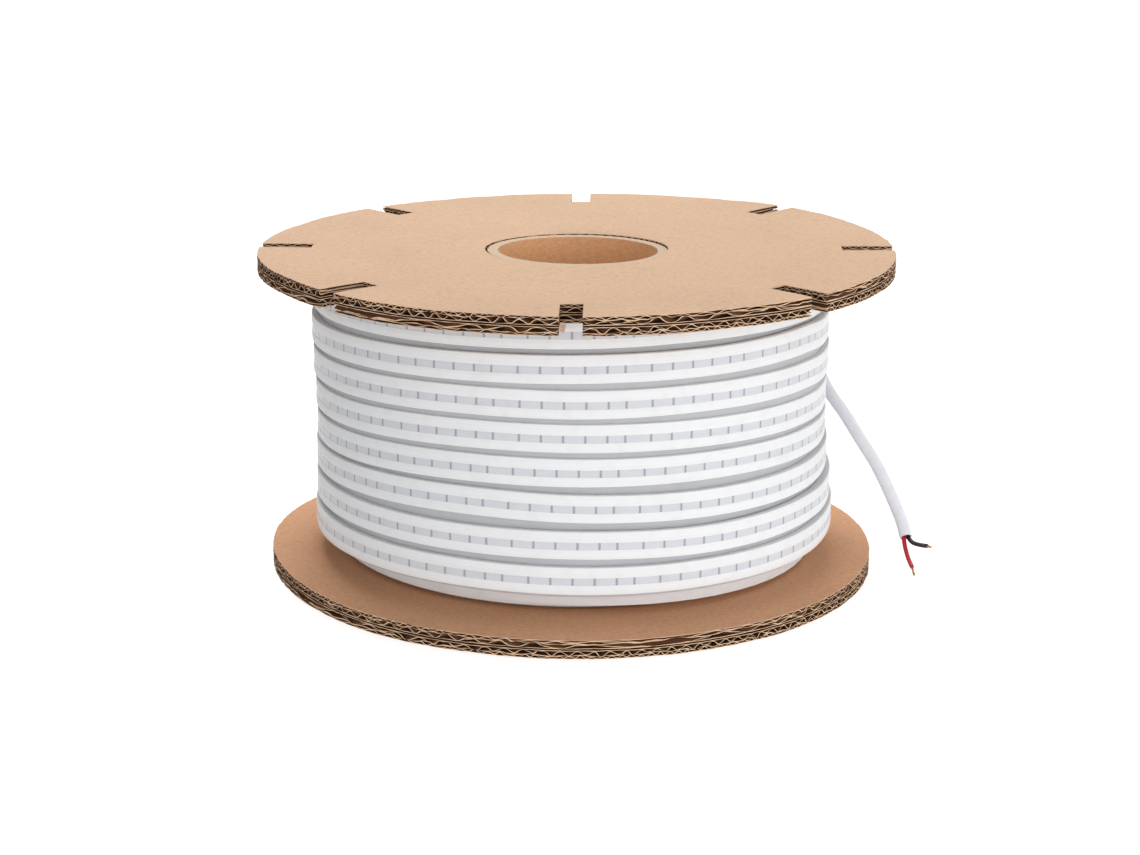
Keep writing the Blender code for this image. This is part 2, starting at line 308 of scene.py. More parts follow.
def board_outline(flange, low, high):
    """A closed disc with a hole, between two heights, with or without notches in its rim."""
    hole_to_notches = SLOT_INNER_RADIUS - BOARD_HOLE_RADIUS
    notches_to_rim = flange.radius - SLOT_INNER_RADIUS
    inner_shares = (0.0, 0.02, 0.045, 0.16, 0.40, 0.62, 0.82, 1.0)
    rim_shares = (0.3, 0.55, 0.78, 0.92, 1.0)
    radii = [BOARD_HOLE_RADIUS + hole_to_notches * share for share in inner_shares]
    radii += [SLOT_INNER_RADIUS + notches_to_rim * share for share in rim_shares]
    slot_columns = 4
    sector_columns = 40
    columns = slot_columns + sector_columns
    builder = bmesh.new()
    rings = []
    for radius in radii:
        half = math.degrees(math.asin(0.5 * SLOT_WIDTH / radius))
        ring = []
        for sector in range(SLOT_COUNT):
            middle = flange.turn + sector * 360.0 / SLOT_COUNT
            for column in range(columns):
                if column < slot_columns:
                    degrees = middle - half + 2.0 * half * column / slot_columns
                else:
                    share = (column - slot_columns) / sector_columns
                    degrees = middle + half + (360.0 / SLOT_COUNT - 2.0 * half) * share
                ring.append(builder.verts.new(around(radius, degrees, low)))
        rings.append(ring)
    total = SLOT_COUNT * columns
    for radius, ring, next_ring in zip(radii, rings, rings[1:]):
        notched = flange.notched and radius >= SLOT_INNER_RADIUS - 1e-6
        for column in range(total):
            if notched and column % columns < slot_columns:
                continue
            after = (column + 1) % total
            builder.faces.new((ring[column], ring[after], next_ring[after], next_ring[column]))
    loose = [vertex for vertex in builder.verts if not vertex.link_faces]
    bmesh.ops.delete(builder, geom=loose, context="VERTS")
    raised = bmesh.ops.extrude_face_region(builder, geom=list(builder.faces))
    lifted = [item for item in raised["geom"] if isinstance(item, bmesh.types.BMVert)]
    bmesh.ops.translate(builder, verts=lifted, vec=(0.0, 0.0, high - low))
    bmesh.ops.recalc_face_normals(builder, faces=builder.faces)
    return builder


def fluted_sheet(pitch, height, middle, degrees):
    """A closed sheet of paper pressed into waves, wider than the board."""
    per_wave = 10
    crossings = 12
    count = int(2.0 * SHEET_REACH / pitch * per_wave)
    swing = 0.5 * (height - FLUTE_PAPER) + 0.03 * MM
    builder = bmesh.new()
    rows = []
    for step in range(count + 1):
        across = -SHEET_REACH + 2.0 * SHEET_REACH * step / count
        phase = 2.0 * math.pi * across / pitch
        centre = middle + swing * math.sin(phase)
        slope = 2.0 * math.pi * swing / pitch * math.cos(phase)
        half = 0.5 * FLUTE_PAPER * math.sqrt(1.0 + slope * slope)
        over = []
        under = []
        for crossing in range(crossings + 1):
            along = -SHEET_REACH + 2.0 * SHEET_REACH * crossing / crossings
            over.append(builder.verts.new((along, across, centre + half)))
            under.append(builder.verts.new((along, across, centre - half)))
        rows.append((over, under))
    for (over, under), (next_over, next_under) in zip(rows, rows[1:]):
        for crossing in range(crossings):
            after = crossing + 1
            builder.faces.new((over[crossing], over[after], next_over[after], next_over[crossing]))
            builder.faces.new((under[crossing], next_under[crossing], next_under[after], under[after]))
        builder.faces.new((over[0], next_over[0], next_under[0], under[0]))
        builder.faces.new((over[-1], under[-1], next_under[-1], next_over[-1]))
    for over, under in (rows[0], rows[-1]):
        for crossing in range(crossings):
            after = crossing + 1
            builder.faces.new((over[crossing], under[crossing], under[after], over[after]))
    bmesh.ops.recalc_face_normals(builder, faces=builder.faces)
    turned = Matrix.Rotation(math.radians(degrees), 3, "Z")
    bmesh.ops.rotate(builder, verts=builder.verts, cent=(0, 0, 0), matrix=turned)
    return builder


def cut_to_outline(sheet_builder, outline_builder):
    """The part of a sheet inside an outline, as a new bmesh."""
    sheet = new_object("sheet_before_cutting", sheet_builder)
    outline = new_object("knife_outline", outline_builder)
    cut = sheet.modifiers.new("cut", "BOOLEAN")
    cut.operation = "INTERSECT"
    cut.solver = "EXACT"
    cut.object = outline
    bpy.context.view_layer.update()
    depsgraph = bpy.context.evaluated_depsgraph_get()
    cut_mesh = bpy.data.meshes.new_from_object(sheet.evaluated_get(depsgraph))
    builder = bmesh.new()
    builder.from_mesh(cut_mesh)
    for leftover in (sheet, outline):
        bpy.data.objects.remove(leftover)
    bpy.data.meshes.remove(cut_mesh)
    return builder


def edge_of_slot(point, flange, margin):
    """Whether a point lies on a wall of one of the notches."""
    radius = math.hypot(point.x, point.y)
    if not flange.notched or radius < SLOT_INNER_RADIUS - margin:
        return False
    degrees = math.degrees(math.atan2(point.y, point.x)) - flange.turn
    step = 360.0 / SLOT_COUNT
    off = (degrees + step / 2.0) % step - step / 2.0
    aside = abs(radius * math.sin(math.radians(off)))
    at_side = abs(aside - SLOT_WIDTH / 2.0) < margin
    at_end = aside < SLOT_WIDTH / 2.0 and abs(radius - SLOT_INNER_RADIUS) < 2.0 * margin
    return at_side or at_end


def cut_edge(point, flange):
    """Whether a point lies where the knife went: the rim, the hole or a notch."""
    radius = math.hypot(point.x, point.y)
    at_rim = radius > flange.radius - 0.15 * MM or radius < BOARD_HOLE_RADIUS + 0.15 * MM
    return at_rim or edge_of_slot(point, flange, 0.12 * MM)


def unevenness(point, scale, level):
    return noise.noise(Vector((point.x * scale, point.y * scale, level)))


def worn_point(point, flange, board_low, seed):
    """Where a point of a board goes: knife wobble, a crushed rim and the flange's own warp."""
    radius = math.hypot(point.x, point.y)
    middle = board_low + 0.5 * BOARD_THICKNESS
    near_rim = smooth_step((radius - (flange.radius - CRUSHED_RIM)) / CRUSHED_RIM)
    crush = (CRUSHED_ALL_ROUND + CRUSHED_HERE * max(0.0, unevenness(point, 55.0, seed))) * near_rim
    if near_rim < 1.0 and edge_of_slot(point, flange, 0.3 * MM):
        crush = max(crush, CRUSHED_NOTCH)
    fine = Vector((point.x * 420.0, point.y * 420.0, point.z * 900.0 + seed * 3.0))
    wobble = noise.noise_vector(fine)
    at_cut = smooth_step((radius - (flange.radius - FRAYED_RIM)) / FRAYED_RIM)
    rumple = unevenness(point, 210.0, point.z * 500.0 + seed * 7.0)
    inside = 1.0 - abs(point.z - middle) / (0.5 * BOARD_THICKNESS)
    moved = Vector(point)
    moved.z = middle + (point.z - middle) * (1.0 - crush)
    moved.x += wobble.x * KNIFE_WOBBLE * at_cut
    moved.y += wobble.y * KNIFE_WOBBLE * at_cut
    moved.z += wobble.z * KNIFE_WOBBLE_UP * at_cut
    moved.z += rumple * RUMPLED_EDGE * max(0.0, inside) * near_rim
    moved.z += unevenness(point, 22.0, 5.0) * RIM_RIPPLE * near_rim
    return moved + flange.lean(point)


def corrugated_board(name, flange, low, small_flute_up, flute_degrees, seed, face, open_side, scrap=None):
    """Builds one double-wall board: liners, then the two fluted sheets cut to the same outline."""
    flutes = [(SMALL_FLUTE_HEIGHT, SMALL_FLUTE_PITCH), (LARGE_FLUTE_HEIGHT, LARGE_FLUTE_PITCH)]
    if small_flute_up:
        flutes.reverse()
    levels = [low]
    for height, _ in flutes:
        levels.append(levels[-1] + LINER + height)
    knife_low = low - 2.0 * MM
    knife_high = low + BOARD_THICKNESS + 2.0 * MM
    board = bmesh.new()
    for level in levels:
        liner = board_outline(flange, level, level + LINER)
        lowest = open_side == "below" and level == levels[0]
        highest = open_side == "above" and level == levels[-1]
        add_layer(board, liner, flange, lowest, highest)
    for (height, pitch), level in zip(flutes, levels):
        sheet = fluted_sheet(pitch, height, level + LINER + 0.5 * height, flute_degrees)
        outline = board_outline(flange, knife_low, knife_high)
        add_layer(board, cut_to_outline(sheet, outline), flange, False, False)
    for vertex in board.verts:
        vertex.co = worn_point(vertex.co, flange, low, seed)
    if scrap:
        add_torn_scrap(board, **scrap)
    papers = [face, kraft_flute_painted_shade, kraft_edge]
    piece = new_piece(name + "_corrugated", board, papers, 40.0)
    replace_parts(piece, name)


def add_layer(board, layer, flange, lowest, highest):
    """Adds one sheet of paper to a board: light outside and where it is cut, and painted dark inside for
    the shade in the hollows of the flutes.
    """
    for face in layer.faces:
        upright = abs(face.normal.z) < 0.35
        outside = (lowest and face.normal.z < -0.5) or (highest and face.normal.z > 0.5)
        if upright and cut_edge(face.calc_center_median(), flange):
            face.material_index = 2
        else:
            # Inner faces take the dark flute paper, which paints in the shade of the hollows.
            face.material_index = 0 if outside else 1
    sheet_mesh = bpy.data.meshes.new("paper_layer")
    layer.to_mesh(sheet_mesh)
    layer.free()
    board.from_mesh(sheet_mesh)
    bpy.data.meshes.remove(sheet_mesh)


def add_torn_scrap(board, notch, radius, side, width, top, drop):
    """A scrap of liner, torn loose by the knife, that hangs from one wall of a notch."""
    rows = 6
    columns = 5
    outward = around(1.0, notch + SLOT_TURN, 0.0)
    inwards = Vector((outward.y, -outward.x, 0.0)) * side
    to_wall = 0.5 * SLOT_WIDTH - 0.1 * MM
    corner = outward * radius - inwards * to_wall + Vector((0.8 * MM, 0.0, top))
    sheets = []
    for thickness in (0.0, LINER):
        sheet = []
        for row in range(rows + 1):
            down = row / rows
            line = []
            for column in range(columns + 1):
                share = column / columns
                ragged = 1.0 + 0.3 * noise.noise(Vector((share * 2.3, down * 2.0, notch)))
                curl = (0.9 * down * down - 0.4 * share) * MM
                point = corner + inwards * width * share * (1.0 - 0.3 * down)
                point += outward * (curl + thickness)
                point.z -= drop * down * ragged
                line.append(board.verts.new(point))
            sheet.append(line)
        sheets.append(sheet)
    borders = []
    for sheet in sheets:
        for line, next_line in zip(sheet, sheet[1:]):
            for column in range(columns):
                after = column + 1
                board.faces.new((line[column], line[after], next_line[after], next_line[column]))
        right_side = [line[-1] for line in sheet[1:]]
        left_side = [line[0] for line in sheet[1:-1]]
        borders.append(sheet[0] + right_side + sheet[-1][-2::-1] + left_side[::-1])
    inner, outer = borders
    for index in range(len(inner)):
        face = board.faces.new((inner[index - 1], inner[index], outer[index], outer[index - 1]))
        face.material_index = 2
    bmesh.ops.recalc_face_normals(board, faces=board.faces)


def near_azimuth(point, azimuth, spread):
    """1 at an azimuth, falling softly to 0 on both sides of it."""
    degrees = math.degrees(math.atan2(point.y, point.x)) % 360.0
    return math.exp(-((degrees - azimuth) / spread) ** 2)


LEFT_OVERHANG = 1.8 * MM


def bottom_flange_lean(point):
    """The bottom flange was cut a little too wide at its left."""
    outward = math.hypot(point.x, point.y) / BOTTOM_FLANGE_RADIUS
    return Vector((-LEFT_OVERHANG * near_azimuth(point, 172.0, 22.0) * outward, 0.0, 0.0))


TOP_LOW = REEL_HEIGHT - 2.0 * BOARD_THICKNESS - BOARD_GAP
SECOND_BOARD = BOARD_THICKNESS + BOARD_GAP
PRESSED_RADIUS = 48.0 * MM
PRESSED_EDGE = 4.5 * MM
PRESSED_IN = 1.3 * MM
RISE_TO_THE_RIGHT = 1.2 * MM
FALL_TO_THE_BACK = 0.6 * MM
RIM_LIFT = 0.5 * MM
LEFT_WARP = 1.6 * MM
RIGHT_BACK_WARP = 1.2 * MM
SHIFT_TO_THE_RIGHT = 0.8 * MM
RIM_SHRINK = 0.8 * MM


def top_flange_lean(point):
    """The top flange rises to the right, is pressed in at its hole, and is warped at two places."""
    across = point.x / TOP_FLANGE_RADIUS
    back = point.y / TOP_FLANGE_RADIUS
    radius = math.hypot(point.x, point.y)
    at_rim = smooth_step(2.0 * radius / TOP_FLANGE_RADIUS - 1.0)
    at_hole = smooth_step((PRESSED_RADIUS - radius) / PRESSED_EDGE)
    at_back = smooth_step(0.2 + point.y / (60.0 * MM))
    up_the_flange = smooth_step((point.z - TOP_LOW) / (REEL_HEIGHT - TOP_LOW))
    warped = RIM_LIFT + LEFT_WARP * near_azimuth(point, 206.0, 24.0)
    warped += RIGHT_BACK_WARP * near_azimuth(point, 45.0, 28.0)
    rise = RISE_TO_THE_RIGHT * across - FALL_TO_THE_BACK * back + warped * at_rim
    rise -= PRESSED_IN * at_hole * at_back * up_the_flange
    shift = SHIFT_TO_THE_RIGHT - RIM_SHRINK * across * at_rim
    return Vector((shift, -RIM_SHRINK * back * at_rim, rise))


Flange = namedtuple("Flange", "radius turn notched lean")
BOTTOM = Flange(BOTTOM_FLANGE_RADIUS, 0.0, False, bottom_flange_lean)
TOP = Flange(TOP_FLANGE_RADIUS, SLOT_TURN, True, top_flange_lean)
corrugated_board("bottom_flange_lower_board", BOTTOM, low=0.0, small_flute_up=False,
                 flute_degrees=-60.0, seed=1.0, face=kraft_face, open_side="below")
# This board's upper face uses the darker, more orange kraft that paints in the shade under the top
# flange.
corrugated_board("bottom_flange_upper_board", BOTTOM, low=SECOND_BOARD, small_flute_up=True,
                 flute_degrees=15.0, seed=2.0, face=shaded_lower_kraft_face, open_side="above")
corrugated_board("top_flange_lower_board", TOP, low=TOP_LOW, small_flute_up=False,
                 flute_degrees=-38.0, seed=3.0, face=kraft_face, open_side="below", scrap=TORN_SCRAP)
corrugated_board("top_flange_upper_board", TOP, low=TOP_LOW + SECOND_BOARD, small_flute_up=True,
                 flute_degrees=45.0, seed=4.0, face=kraft_face, open_side="above")

# The neon flex is one long white silicone extrusion, 8 mm thick and 16 mm tall, with a neck
# below its face and a cloudy window along it. The LED strip inside shows as faint grey bars.
# It is wound on the tube in ten layers, and the outer one rises from the bottom flange.
FLEX_WHITE = (0.83, 0.84, 0.855)
FLEX_WINDOW = (0.66, 0.67, 0.71)
FLEX_TICK = (0.34, 0.35, 0.39)
# Painted shade: the neck is the same white silicone as the face, coloured grey for the shade in its
# recess under the face.
FLEX_NECK_PAINTED_SHADE = (0.50, 0.505, 0.525)
# The flex's section, in mm outwards and up from the middle of its window, with the finish from
# each corner to the next: 0 for the face, 1 for the window and 2 for the neck, painted grey for the shade
# in its recess.
FLEX_PROFILE = (
    (-3.95, -9.35, 2), (1.15, -9.35, 2), (1.60, -9.15, 2), (1.75, -8.75, 2), (1.80, -6.40, 2),
    (2.20, -6.15, 0), (3.55, -6.10, 0), (3.85, -5.98, 0), (4.00, -5.65, 0), (4.03, -3.75, 0),
    (4.00, -1.85, 0), (3.96, -1.72, 0), (3.85, -1.68, 1), (3.85, 1.68, 0), (3.96, 1.72, 0),
    (4.00, 1.85, 0), (4.04, 4.10, 0), (4.00, 6.10, 0), (3.90, 6.40, 0), (3.62, 6.60, 0),
    (3.20, 6.66, 0), (1.40, 6.50, 0), (-3.95, 5.10, 0),
)
FLEX_THICKNESS = 8.0 * MM
NECK_BOTTOM = -9.35
NECK_CORNERS_BELOW = -8.5
LONGEST_NECK = NECK_BOTTOM - 1.9
SHORTEST_NECK = -7.8
FLEX_TOP = 6.55
NECK_PRESSED_IN = 0.45
TICK_PERIODS_PER_TURN = 13.0
TICK_PLACES = (0.0, 0.201, 0.367, 0.533, 0.699, 0.865)
TICK_HALF_WIDTH = 0.0085
TICK_CROWDING = 1.3
TICKS_BEFORE = 20.0
# Each row, from the bottom one up: the height of its window at six azimuths,
# its face radius on the left and on the right, and the azimuth of a tick at its front.
ROW_AZIMUTHS = (200.0, 245.0, 275.0, 300.0, 330.0, 345.0)
ROWS = (
    ((27.2, 28.9, 28.4, 28.1, 27.4, 28.0), 124.5, 125.8, 255.8),
    ((42.7, 44.7, 44.6, 43.3, 42.9, 42.5), 124.0, 124.5, 252.2),
    ((57.9, 61.9, 60.8, 59.5, 58.2, 58.4), 123.9, 122.4, 251.3),
    ((72.3, 77.0, 77.0, 76.5, 74.4, 73.7), 123.4, 121.3, 252.2),
    ((87.6, 92.4, 92.6, 91.9, 89.8, 88.9), 123.9, 121.3, 253.5),
    ((103.2, 107.6, 108.0, 108.1, 106.5, 105.2), 124.6, 121.9, 253.7),
    ((118.6, 122.6, 123.9, 123.9, 123.3, 121.6), 125.2, 121.5, 253.3),
    ((134.8, 137.7, 138.9, 139.4, 137.6, 136.0), 124.2, 119.2, 255.2),
)
COIL_LOW = 9.3 * MM
COIL_HIGH = 143.7 * MM
LIFTED_EDGE = 0.9 * MM
OUTER_LAYER_START = 165.0
OUTER_LAYER_END = 3290.0
RADIUS_WANDER = 0.18 * MM
HEIGHT_WANDER = 0.08
COIL_INNER_RADIUS = 43.4 * MM
INNER_LAYER_COUNT = 9
TURNS_PER_INNER_LAYER = 8.0
ROOM_BELOW = 8.1 * MM
ROOM_ABOVE = 7.8 * MM
INNER_PROFILE = (
    (-3.95, -8.0, 0), (3.95, -8.0, 0), (3.95, -6.6, 0),
    (3.95, 6.6, 0), (3.95, 7.7, 0), (-3.95, 7.7, 0),
)


def read_curve(knots, place):
    """A smooth curve through (place, value) knots."""
    if place <= knots[0][0]:
        return knots[0][1]
    if place >= knots[-1][0]:
        return knots[-1][1]
    for index in range(len(knots) - 1):
        if place <= knots[index + 1][0]:
            break
    (x0, y0), (x1, y1) = knots[index], knots[index + 1]
    before = knots[max(0, index - 1)]
    after = knots[min(len(knots) - 1, index + 2)]
    width = x1 - x0
    start_slope = (y1 - before[1]) / (x1 - before[0]) * width
    end_slope = (after[1] - y0) / (after[0] - x0) * width
    t = (place - x0) / width
    square = t * t
    cube = square * t
    return (
        (2.0 * cube - 3.0 * square + 1.0) * y0
        + (cube - 2.0 * square + t) * start_slope
        + (3.0 * square - 2.0 * cube) * y1
        + (cube - square) * end_slope
    )


def outer_layer_knots():
    """Heights, radii and tick places of the outer layer, against its total turn in degrees."""
    heights = [(160.0, 17.2), (200.0, 17.3), (270.0, 17.3), (330.0, 17.5)]
    radii = [
        (160.0, 117.0), (176.0, 115.0), (200.0, 112.5), (230.0, 109.8), (262.0, 108.5),
        (300.0, 108.8), (331.0, 113.4), (352.0, 117.5), (400.0, 121.0), (480.0, 123.5),
    ]
    ticks = [(0.0, ROWS[0][3])]
    for row, (row_heights, left_radius, right_radius, tick) in enumerate(ROWS):
        start = 360.0 * (row + 1)
        heights += [(start + azimuth, height) for azimuth, height in zip(ROW_AZIMUTHS, row_heights)]
        middle = 0.5 * (left_radius + right_radius)
        radii += [
            (start + 180.0, left_radius), (start + 270.0, middle),
            (start + 360.0, right_radius), (start + 440.0, middle),
        ]
        ticks.append((start + 255.0, tick))
    return heights, radii, ticks


HEIGHT_KNOTS, RADIUS_KNOTS, TICK_KNOTS = outer_layer_knots()


def swept(name, sections, along, across, tags, materials, smooth_angle=32.0):
    """Skins a closed profile through its sections, with the length along it and round it as UV."""
    builder = bmesh.new()
    grid = builder.loops.layers.uv.new("along_and_across")
    rings = [[builder.verts.new(point) for point in section] for section in sections]
    corners = len(rings[0])
    for step in range(len(rings) - 1):
        ring, next_ring = rings[step:step + 2]
        for corner in range(corners):
            after = (corner + 1) % corners
            face = builder.faces.new((ring[corner], ring[after], next_ring[after], next_ring[corner]))
            face.material_index = tags[corner]
            places = (
                (along[step], across[corner]), (along[step], across[corner + 1]),
                (along[step + 1], across[corner + 1]), (along[step + 1], across[corner]),
            )
            for loop, place in zip(face.loops, places):
                loop[grid].uv = place
    builder.faces.new(rings[0])
    builder.faces.new(rings[-1])
    bmesh.ops.recalc_face_normals(builder, faces=builder.faces)
    return new_piece(name, builder, materials, smooth_angle)


def across_profile(profile):
    """Distance round a closed profile to each corner, in the profile's own units."""
    distances = [0.0]
    for index, (u, v, _) in enumerate(profile):
        next_u, next_v, _ = profile[(index + 1) % len(profile)]
        distances.append(distances[-1] + math.hypot(next_u - u, next_v - v))
    return distances


def place_on_flex(tree, scale):
    """The length along the flex and the distance round its section, times a scale."""
    uv = tree.nodes.new("ShaderNodeUVMap")
    uv.uv_map = "along_and_across"
    mapping = tree.nodes.new("ShaderNodeMapping")
    mapping.inputs["Scale"].default_value = (*scale, 1.0)
    tree.links.new(uv.outputs["UV"], mapping.inputs["Vector"])
    return mapping.outputs["Vector"]


def flex_skin(name, colour, roughness, line_strength):
    """Extruded silicone: fine lines along its length, a little dust and unevenness."""
    material, tree, shader = new_material(name, roughness)
    shader.inputs["Specular IOR Level"].default_value = 0.20
    shader.inputs["Subsurface Weight"].default_value = 0.12
    shader.inputs["Subsurface Radius"].default_value = (0.004, 0.004, 0.0045)
    shader.inputs["Subsurface Scale"].default_value = 0.5
    lines = noise_texture(tree, place_on_flex(tree, (0.5, 1.9)), 1.0, detail=3.0, roughness=0.65)
    line_colour = colour_ramp(tree, lines, [(0.34, shaded(colour, 0.955)), (0.60, colour)])
    dust = noise_texture(tree, place_coordinates(tree), 160.0, detail=4.0)
    dust_shade = colour_ramp(tree, dust, [(0.30, (0.965, 0.962, 0.955)), (0.5, UNSHADED)])
    dusty_colour = multiplied(tree, 1.0, line_colour, dust_shade)
    tree.links.new(dusty_colour, shader.inputs["Base Color"])
    add_bump(tree, shader, lines, line_strength, 0.00035)
    return material, tree, shader


def flex_window():
    """The window strip, with the soft grey bars of the LED strip's cuts and solder pads."""
    material, tree, shader = flex_skin("flex_window", FLEX_WINDOW, 0.27, 0.10)
    separate = tree.nodes.new("ShaderNodeSeparateXYZ")
    tree.links.new(place_on_flex(tree, (1.0, 1.0)), separate.inputs["Vector"])
    period = tree.nodes.new("ShaderNodeMath")
    period.operation = "FRACT"
    tree.links.new(separate.outputs["X"], period.inputs[0])
    stops = []
    for place in TICK_PLACES:
        shift = place + 2.0 * TICK_HALF_WIDTH
        stops += [
            (shift - 1.5 * TICK_HALF_WIDTH, (0.0, 0.0, 0.0)),
            (shift - 0.5 * TICK_HALF_WIDTH, (1.0, 1.0, 1.0)),
            (shift + 0.5 * TICK_HALF_WIDTH, (1.0, 1.0, 1.0)),
            (shift + 1.5 * TICK_HALF_WIDTH, (0.0, 0.0, 0.0)),
        ]
    bars = colour_ramp(tree, period.outputs[0], stops)
    barred = tree.nodes.new("ShaderNodeMixRGB")
    barred.inputs["Color2"].default_value = (*FLEX_TICK, 1.0)
    tree.links.new(bars, barred.inputs["Fac"])
    tree.links.new(shader.inputs["Base Color"].links[0].from_socket, barred.inputs["Color1"])
    tree.links.new(barred.outputs["Color"], shader.inputs["Base Color"])
    return material


flex_face = flex_skin("flex_white_silicone", FLEX_WHITE, 0.42, 0.22)[0]
flex_glass = flex_window()
# The neck's grey is painted shade for its recess, on the same white silicone.
flex_neck_painted_shade = flex_skin("flex_neck_silicone_painted_shade", FLEX_NECK_PAINTED_SHADE, 0.55, 0.30)[0]
FLEX_FINISHES = [flex_face, flex_glass, flex_neck_painted_shade]


def flex_piece(name, sections, along):
    tags = [tag for _, _, tag in FLEX_PROFILE]
    across = across_profile(FLEX_PROFILE)
    return swept(name, sections, along, across, tags, FLEX_FINISHES)


def outer_layer():
    """The tenth layer, from the turn that shows under it up to the top row."""
    steps_per_turn = 144
    turned = OUTER_LAYER_END - OUTER_LAYER_START
    steps = int(turned / 360.0 * steps_per_turn)
    sections = []
    along = []
    for step in range(steps + 1):
        turn = OUTER_LAYER_START + turned * step / steps
        height = read_curve(HEIGHT_KNOTS, turn)
        over_a_row = turn > OUTER_LAYER_START + 360.0
        beneath = read_curve(HEIGHT_KNOTS, turn - 360.0) if over_a_row else 0.0
        resting = beneath + FLEX_TOP - NECK_PRESSED_IN - height
        neck_bottom = min(SHORTEST_NECK, max(LONGEST_NECK, resting))
        radius = read_curve(RADIUS_KNOTS, turn) * MM - 0.5 * FLEX_THICKNESS
        radius += RADIUS_WANDER * noise.noise(Vector((turn / 34.0, 1.7, 0.0)))
        height += HEIGHT_WANDER * noise.noise(Vector((turn / 21.0, 8.3, 0.0)))
        section = []
        for u, v, _ in FLEX_PROFILE:
            if v < NECK_CORNERS_BELOW:
                v += neck_bottom - NECK_BOTTOM
            point = around(radius + u * MM, turn, (height + v) * MM)
            lowest = COIL_LOW + (LIFTED_EDGE if u > 0.0 else 0.0)
            point.z = max(lowest, min(point.z, COIL_HIGH + top_flange_lean(point).z))
            section.append(point)
        sections.append(section)
        crowding = TICK_CROWDING * math.sin(math.radians(turn - 260.0))
        from_tick = turn - read_curve(TICK_KNOTS, turn) + crowding
        along.append(from_tick / 360.0 * TICK_PERIODS_PER_TURN + 2.0 * TICK_HALF_WIDTH + TICKS_BEFORE)
    return flex_piece("neon_flex_outer_layer", sections, along)


def inner_layers():
    """The nine layers beneath, which rise and fall in turn, with a plain outline of the section."""
    steps_per_turn = 60
    steps = int(INNER_LAYER_COUNT * TURNS_PER_INNER_LAYER * steps_per_turn)
    low = COIL_LOW + ROOM_BELOW
    high = COIL_HIGH - ROOM_ABOVE
    sections = []
    along = []
    for step in range(steps + 1):
        wound = step / steps_per_turn
        layer = min(INNER_LAYER_COUNT - 1, int(wound / TURNS_PER_INNER_LAYER))
        share = wound / TURNS_PER_INNER_LAYER - layer
        climb = share if layer % 2 == 0 else 1.0 - share
        moved_out = float(layer)
        if layer < INNER_LAYER_COUNT - 1:
            moved_out += smooth_step((share - 0.93) / 0.07)
        radius = COIL_INNER_RADIUS + (moved_out + 0.5) * FLEX_THICKNESS
        height = low + (high - low) * climb
        sections.append([
            around(radius + u * MM, wound * 360.0, height + v * MM) for u, v, _ in INNER_PROFILE
        ])
        along.append(wound * TICK_PERIODS_PER_TURN)
    across = across_profile(INNER_PROFILE)
    return swept("neon_flex_inner_layers", sections, along, across, [0] * 6, [flex_face])


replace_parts(outer_layer(), "neon_flex")
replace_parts(inner_layers(), "neon_flex")

# The flex's outer end is the same silicone extrusion. It lifts out of the top row at the
# back of the coil, and runs down across the rows beneath to its cap.
END_RAMP_START = 152.0
END_RAMP_STOP = 134.0
END_DESCENT_START = 146.0
END_DESCENT_STOP = 70.0
END_AZIMUTH = 52.0
END_HEIGHT = 88.0 * MM
END_START_HEIGHT = 135.2 * MM
END_BURIED_RADIUS = 117.8 * MM
END_RESTING_RADIUS = 126.8 * MM
SECTION_CENTRE = -1.2
END_STEPS = 70
END_TICKS_BEFORE = 40.0


def end_stretch_point(degrees):
    """The middle of the end stretch's section at an azimuth."""
    rise = smooth_step((END_RAMP_START - degrees) / (END_RAMP_START - END_RAMP_STOP))
    fall = smooth_step((END_DESCENT_START - degrees) / (END_DESCENT_START - END_DESCENT_STOP))
    radius = END_BURIED_RADIUS + (END_RESTING_RADIUS - END_BURIED_RADIUS) * rise
    return around(radius, degrees, END_START_HEIGHT + (END_HEIGHT - END_START_HEIGHT) * fall)


def end_stretch():
    sections = []
    along = []
    for step in range(END_STEPS + 1):
        degrees = END_RAMP_START + (END_AZIMUTH - END_RAMP_START) * step / END_STEPS
        centre = end_stretch_point(degrees)
        heading = end_stretch_point(degrees - 0.5) - end_stretch_point(degrees + 0.5)
        outward = around(1.0, degrees, 0.0)
        upward = heading.cross(outward).normalized()
        upward = upward if upward.z > 0.0 else -upward
        sections.append([
            centre + outward * u * MM + upward * (v - SECTION_CENTRE) * MM
            for u, v, _ in FLEX_PROFILE
        ])
        along.append(END_TICKS_BEFORE - degrees / 360.0 * TICK_PERIODS_PER_TURN)
    return flex_piece("neon_flex_end_stretch", sections, along)


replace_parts(end_stretch(), "neon_flex")

# The end cap is moulded from white silicone and glued over the flex's cut end.
# The lead leaves it through a ribbed nipple.
CAP_WHITE = (0.80, 0.81, 0.82)
CAP_LENGTH = 18.0 * MM
CAP_THICKNESS = 10.0 * MM
CAP_HEIGHT = 18.0 * MM
NIPPLE_LENGTH = 10.0 * MM
TOUCH_GAP = 0.3 * MM
CAP_CENTRE_RADIUS = 128.5 * MM
CAP_CORNER = 1.6 * MM
# The cap's outline from the flex forward: place, and how much thinner and shorter it is, in mm.
CAP_OUTLINE = (
    (0.0, -0.9), (0.0, -0.3), (0.3, -0.05), (0.8, 0.0), (2.0, 0.0), (2.3, -0.35),
    (15.6, -0.45), (16.6, -0.65), (17.4, -1.1), (17.9, -1.9), (18.0, -2.6),
)
